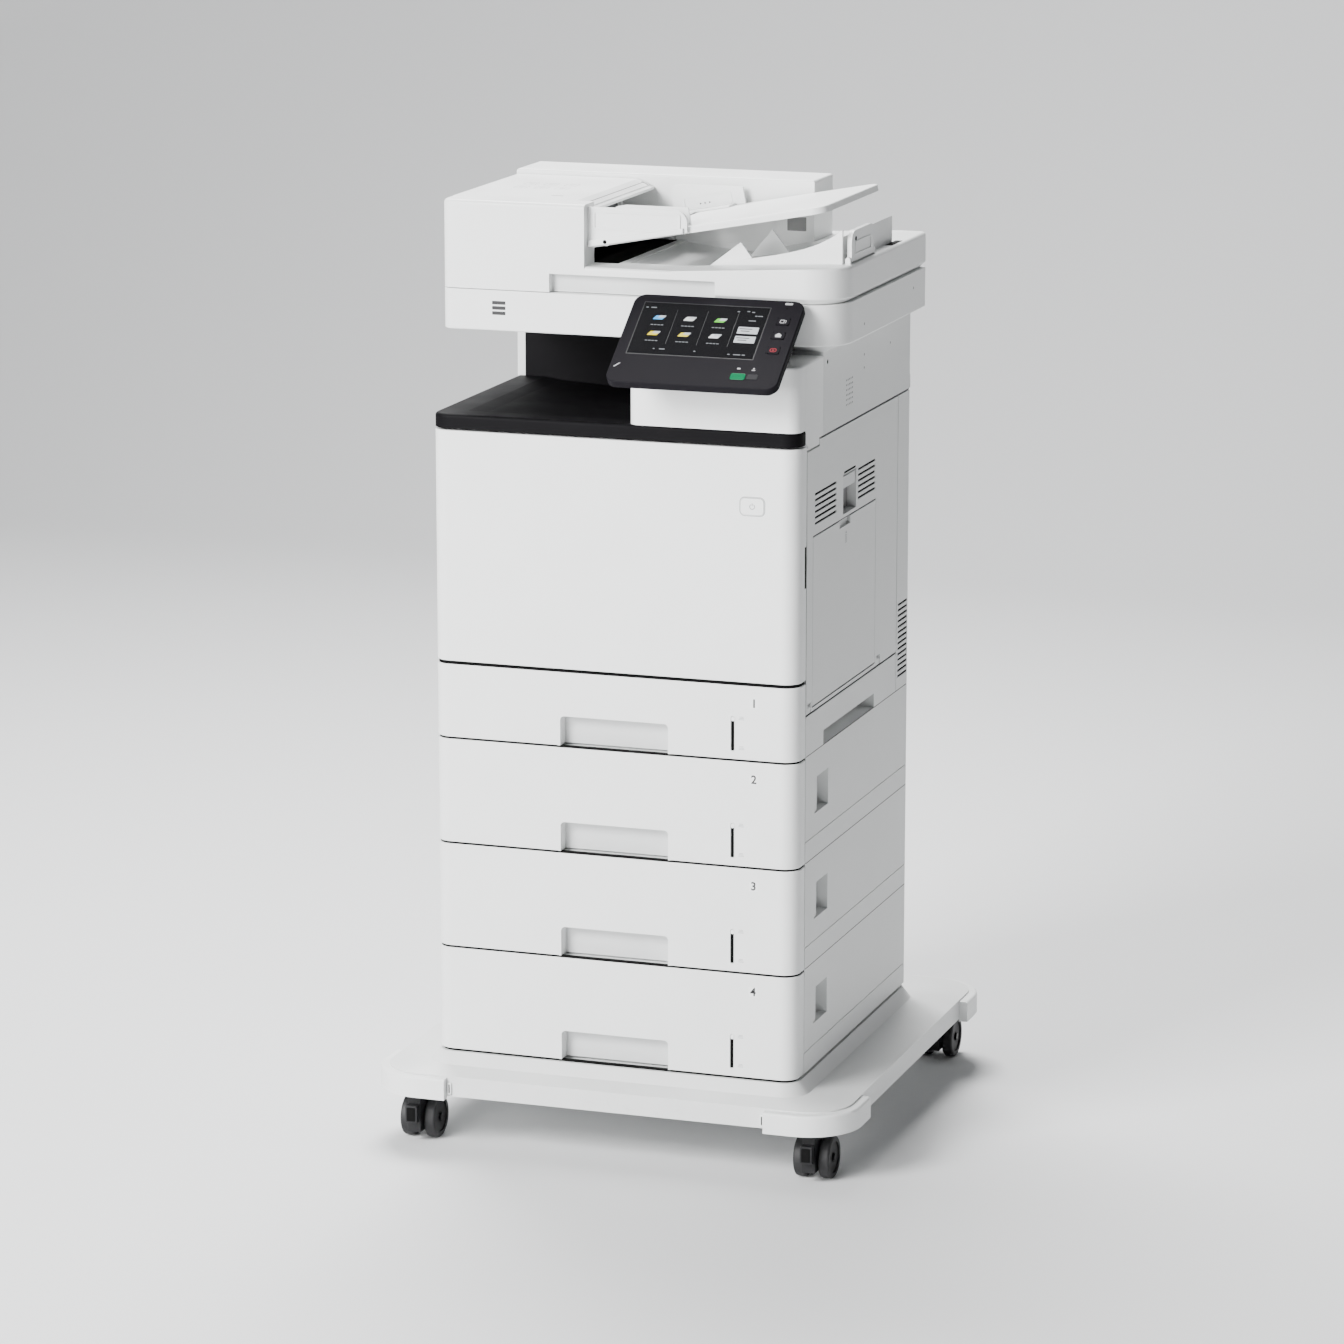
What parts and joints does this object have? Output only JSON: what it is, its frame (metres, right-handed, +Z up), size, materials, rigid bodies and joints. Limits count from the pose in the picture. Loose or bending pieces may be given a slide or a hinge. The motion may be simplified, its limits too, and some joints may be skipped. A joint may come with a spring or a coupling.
{
  "type": "photocopier",
  "caption": "Floor-standing colour office copier with document feeder, tilting touch panel, front toner door, stacked paper drawers and a caster base.",
  "frame": {"origin": "centre of the footprint on the floor, under the middle of the bounding box", "axes": "+Z up, -Y towards the operator, +X to the operator's right"},
  "size_m": [0.612, 0.6744, 1.1606],
  "materials": {
    "white_shell": "fine moulded texture",
    "white_gloss": "smooth satin white",
    "cap_white": "fine moulded texture",
    "black_tray": "satin black moulding",
    "panel_charcoal": "fine matte texture",
    "screen_glass": "glossy dark display window",
    "key_dark": "satin key cap",
    "key_grey": "satin key cap",
    "caster_black": "moulded nylon",
    "wheel_black": "soft tread",
    "tray_grey": "moulded tray",
    "steel": "galvanised sheet",
    "toner_dark": "moulded cartridge",
    "engine_grey": "moulded housing",
    "glass_clear": "flat clear glass",
    "roller_rubber": "ground rubber",
    "inlet_black": "moulded socket",
    "adf_white": "fine moulded texture"
  },
  "bodies": {
    "tower": {"base_platform": "white_shell", "base_corner_caps": "cap_white", "feeder_2_housing": "white_shell", "feeder_3_housing": "white_shell", "feeder_4_housing": "white_shell", "main_frame": "steel", "left_cover": "white_shell", "rear_cover": "white_shell", "mains_inlet": "inlet_black", "right_rear_cover": "white_shell", "right_lower_cover": "white_shell", "output_tray": "black_tray", "bay_rear_wall": "black_tray", "right_upper_cover": "white_shell", "panel_base": "white_gloss", "toner_cartridges": "toner_dark", "transfer_belt_unit": "engine_grey", "fuser_unit": "engine_grey", "laser_unit": "engine_grey", "scanner_base": "white_gloss", "platen_glass": "glass_clear"},
    "scan_carriage": {"scan_carriage": "engine_grey"},
    "front_door": {"front_door": "white_gloss"},
    "power_button": {"power_button": "key_grey"},
    "right_door": {"right_door": "white_shell"},
    "bypass_tray": {"bypass_tray": "white_shell"},
    "door_latch": {"door_latch": "key_grey"},
    "feeder_lid": {"adf_lid": "adf_white", "drive_cover": "adf_white"},
    "feed_cover": {"feed_cover": "adf_white"},
    "feed_roller": {"feed_roller": "roller_rubber"},
    "document_tray": {"document_tray": "adf_white"},
    "guide_front": {"guide_front": "adf_white"},
    "guide_rear": {"guide_rear": "adf_white"},
    "document_stopper": {"document_stopper": "adf_white"},
    "control_panel": {"control_panel": "panel_charcoal", "touch_screen": "screen_glass"},
    "key_settings": {"key_settings": "key_dark"},
    "key_home": {"key_home": "key_dark"},
    "key_stop": {"key_stop": "key_dark"},
    "caster_front_left": {"caster_fork_front_left": "caster_black"},
    "wheels_front_left": {"caster_wheels_front_left": "wheel_black"},
    "caster_front_right": {"caster_fork_front_right": "caster_black"},
    "wheels_front_right": {"caster_wheels_front_right": "wheel_black"},
    "caster_rear_left": {"caster_fork_rear_left": "caster_black"},
    "wheels_rear_left": {"caster_wheels_rear_left": "wheel_black"},
    "caster_rear_right": {"caster_fork_rear_right": "caster_black"},
    "wheels_rear_right": {"caster_wheels_rear_right": "wheel_black"},
    "cassette_1": {"cassette_1_front": "white_gloss", "cassette_1_tray": "tray_grey"},
    "lift_plate_1": {"cassette_1_lift_plate": "steel"},
    "cassette_2": {"cassette_2_front": "white_gloss", "cassette_2_tray": "tray_grey"},
    "lift_plate_2": {"cassette_2_lift_plate": "steel"},
    "cassette_3": {"cassette_3_front": "white_gloss", "cassette_3_tray": "tray_grey"},
    "lift_plate_3": {"cassette_3_lift_plate": "steel"},
    "cassette_4": {"cassette_4_front": "white_gloss", "cassette_4_tray": "tray_grey"},
    "lift_plate_4": {"cassette_4_lift_plate": "steel"}
  },
  "joints": [
    {"name": "swivel_front_left", "type": "hinge", "parent": "tower", "child": "caster_front_left", "pos_m": [-0.252, -0.25547, 0.069], "axis": [0, 0, 1], "continuous": true},
    {"name": "roll_front_left", "type": "hinge", "parent": "caster_front_left", "child": "wheels_front_left", "pos_m": [-0.252, -0.23547, 0.026], "axis": [1, 0, 0], "continuous": true},
    {"name": "swivel_front_right", "type": "hinge", "parent": "tower", "child": "caster_front_right", "pos_m": [0.252, -0.25547, 0.069], "axis": [0, 0, 1], "continuous": true},
    {"name": "roll_front_right", "type": "hinge", "parent": "caster_front_right", "child": "wheels_front_right", "pos_m": [0.252, -0.23547, 0.026], "axis": [1, 0, 0], "continuous": true},
    {"name": "swivel_rear_left", "type": "hinge", "parent": "tower", "child": "caster_rear_left", "pos_m": [-0.252, 0.27953, 0.069], "axis": [0, 0, 1], "continuous": true},
    {"name": "roll_rear_left", "type": "hinge", "parent": "caster_rear_left", "child": "wheels_rear_left", "pos_m": [-0.252, 0.29953, 0.026], "axis": [1, 0, 0], "continuous": true},
    {"name": "swivel_rear_right", "type": "hinge", "parent": "tower", "child": "caster_rear_right", "pos_m": [0.252, 0.27953, 0.069], "axis": [0, 0, 1], "continuous": true},
    {"name": "roll_rear_right", "type": "hinge", "parent": "caster_rear_right", "child": "wheels_rear_right", "pos_m": [0.252, 0.29953, 0.026], "axis": [1, 0, 0], "continuous": true},
    {"name": "cassette_1_slide", "type": "slide", "parent": "tower", "child": "cassette_1", "axis": [0, -1, 0], "range_m": [0, 0.36]},
    {"name": "lift_plate_1_hinge", "type": "hinge", "parent": "cassette_1", "child": "lift_plate_1", "pos_m": [0, 0.02853, 0.53], "axis": [-1, 0, 0], "range_deg": [0, 7]},
    {"name": "cassette_2_slide", "type": "slide", "parent": "tower", "child": "cassette_2", "axis": [0, -1, 0], "range_m": [0, 0.36]},
    {"name": "lift_plate_2_hinge", "type": "hinge", "parent": "cassette_2", "child": "lift_plate_2", "pos_m": [0, 0.02853, 0.4], "axis": [-1, 0, 0], "range_deg": [0, 9]},
    {"name": "cassette_3_slide", "type": "slide", "parent": "tower", "child": "cassette_3", "axis": [0, -1, 0], "range_m": [0, 0.36]},
    {"name": "lift_plate_3_hinge", "type": "hinge", "parent": "cassette_3", "child": "lift_plate_3", "pos_m": [0, 0.02853, 0.27], "axis": [-1, 0, 0], "range_deg": [0, 9]},
    {"name": "cassette_4_slide", "type": "slide", "parent": "tower", "child": "cassette_4", "axis": [0, -1, 0], "range_m": [0, 0.36]},
    {"name": "lift_plate_4_hinge", "type": "hinge", "parent": "cassette_4", "child": "lift_plate_4", "pos_m": [0, 0.02853, 0.14], "axis": [-1, 0, 0], "range_deg": [0, 9]},
    {"name": "front_door_hinge", "type": "hinge", "parent": "tower", "child": "front_door", "pos_m": [0, -0.24447, 0.6085], "axis": [1, 0, 0], "range_deg": [0, 90]},
    {"name": "power_button_press", "type": "slide", "parent": "front_door", "child": "power_button", "axis": [0, 1, 0], "range_m": [0, 0.002], "stiffness_N_per_m": 400},
    {"name": "right_door_hinge", "type": "hinge", "parent": "tower", "child": "right_door", "pos_m": [0.224, -0.05047, 0.565], "axis": [0, 1, 0], "range_deg": [0, 70]},
    {"name": "bypass_tray_hinge", "type": "hinge", "parent": "right_door", "child": "bypass_tray", "pos_m": [0.225, -0.06347, 0.57], "axis": [0, 1, 0], "range_deg": [0, 75]},
    {"name": "door_latch_pull", "type": "hinge", "parent": "right_door", "child": "door_latch", "pos_m": [0.2245, -0.04447, 0.817], "axis": [0, -1, 0], "range_deg": [0, 15], "stiffness_Nm_per_rad": 0.5},
    {"name": "scan_carriage_travel", "type": "slide", "parent": "tower", "child": "scan_carriage", "axis": [1, 0, 0], "range_m": [0, 0.31]},
    {"name": "feeder_lid_hinge", "type": "hinge", "parent": "tower", "child": "feeder_lid", "pos_m": [0, 0.14253, 1.058], "axis": [-1, 0, 0], "range_deg": [0, 70]},
    {"name": "feed_cover_hinge", "type": "hinge", "parent": "feeder_lid", "child": "feed_cover", "pos_m": [-0.224, -0.07047, 1.1245], "axis": [0, -1, 0], "range_deg": [0, 60]},
    {"name": "feed_roller_spin", "type": "hinge", "parent": "feeder_lid", "child": "feed_roller", "pos_m": [-0.091, -0.07047, 1.1245], "axis": [0, 1, 0], "continuous": true},
    {"name": "document_tray_hinge", "type": "hinge", "parent": "feeder_lid", "child": "document_tray", "pos_m": [-0.026, -0.18047, 1.1075], "axis": [0, -1, 0], "range_deg": [0, 25]},
    {"name": "guide_front_slide", "type": "slide", "parent": "document_tray", "child": "guide_front", "axis": [0, 1, 0], "range_m": [0, 0.05]},
    {"name": "guide_rear_slide", "type": "slide", "parent": "document_tray", "child": "guide_rear", "axis": [0, 1, 0], "range_m": [-0.05, 0]},
    {"name": "document_stopper_fold", "type": "hinge", "parent": "feeder_lid", "child": "document_stopper", "pos_m": [0.259, -0.10747, 1.0945], "axis": [0, 1, 0], "range_deg": [0, 75]},
    {"name": "panel_tilt", "type": "hinge", "parent": "tower", "child": "control_panel", "pos_m": [0.124, -0.23847, 1.003], "axis": [1, 0, 0], "range_deg": [0, 25]},
    {"name": "key_settings_press", "type": "slide", "parent": "control_panel", "child": "key_settings", "axis": [0, 0.5878, -0.809], "range_m": [0, 0.001], "stiffness_N_per_m": 300},
    {"name": "key_home_press", "type": "slide", "parent": "control_panel", "child": "key_home", "axis": [0, 0.5878, -0.809], "range_m": [0, 0.001], "stiffness_N_per_m": 300},
    {"name": "key_stop_press", "type": "slide", "parent": "control_panel", "child": "key_stop", "axis": [0, 0.5878, -0.809], "range_m": [0, 0.001], "stiffness_N_per_m": 300}
  ],
  "couplings": [
    {"joint": "guide_rear_slide", "follows": "guide_front_slide", "ratio": -1}
  ]
}
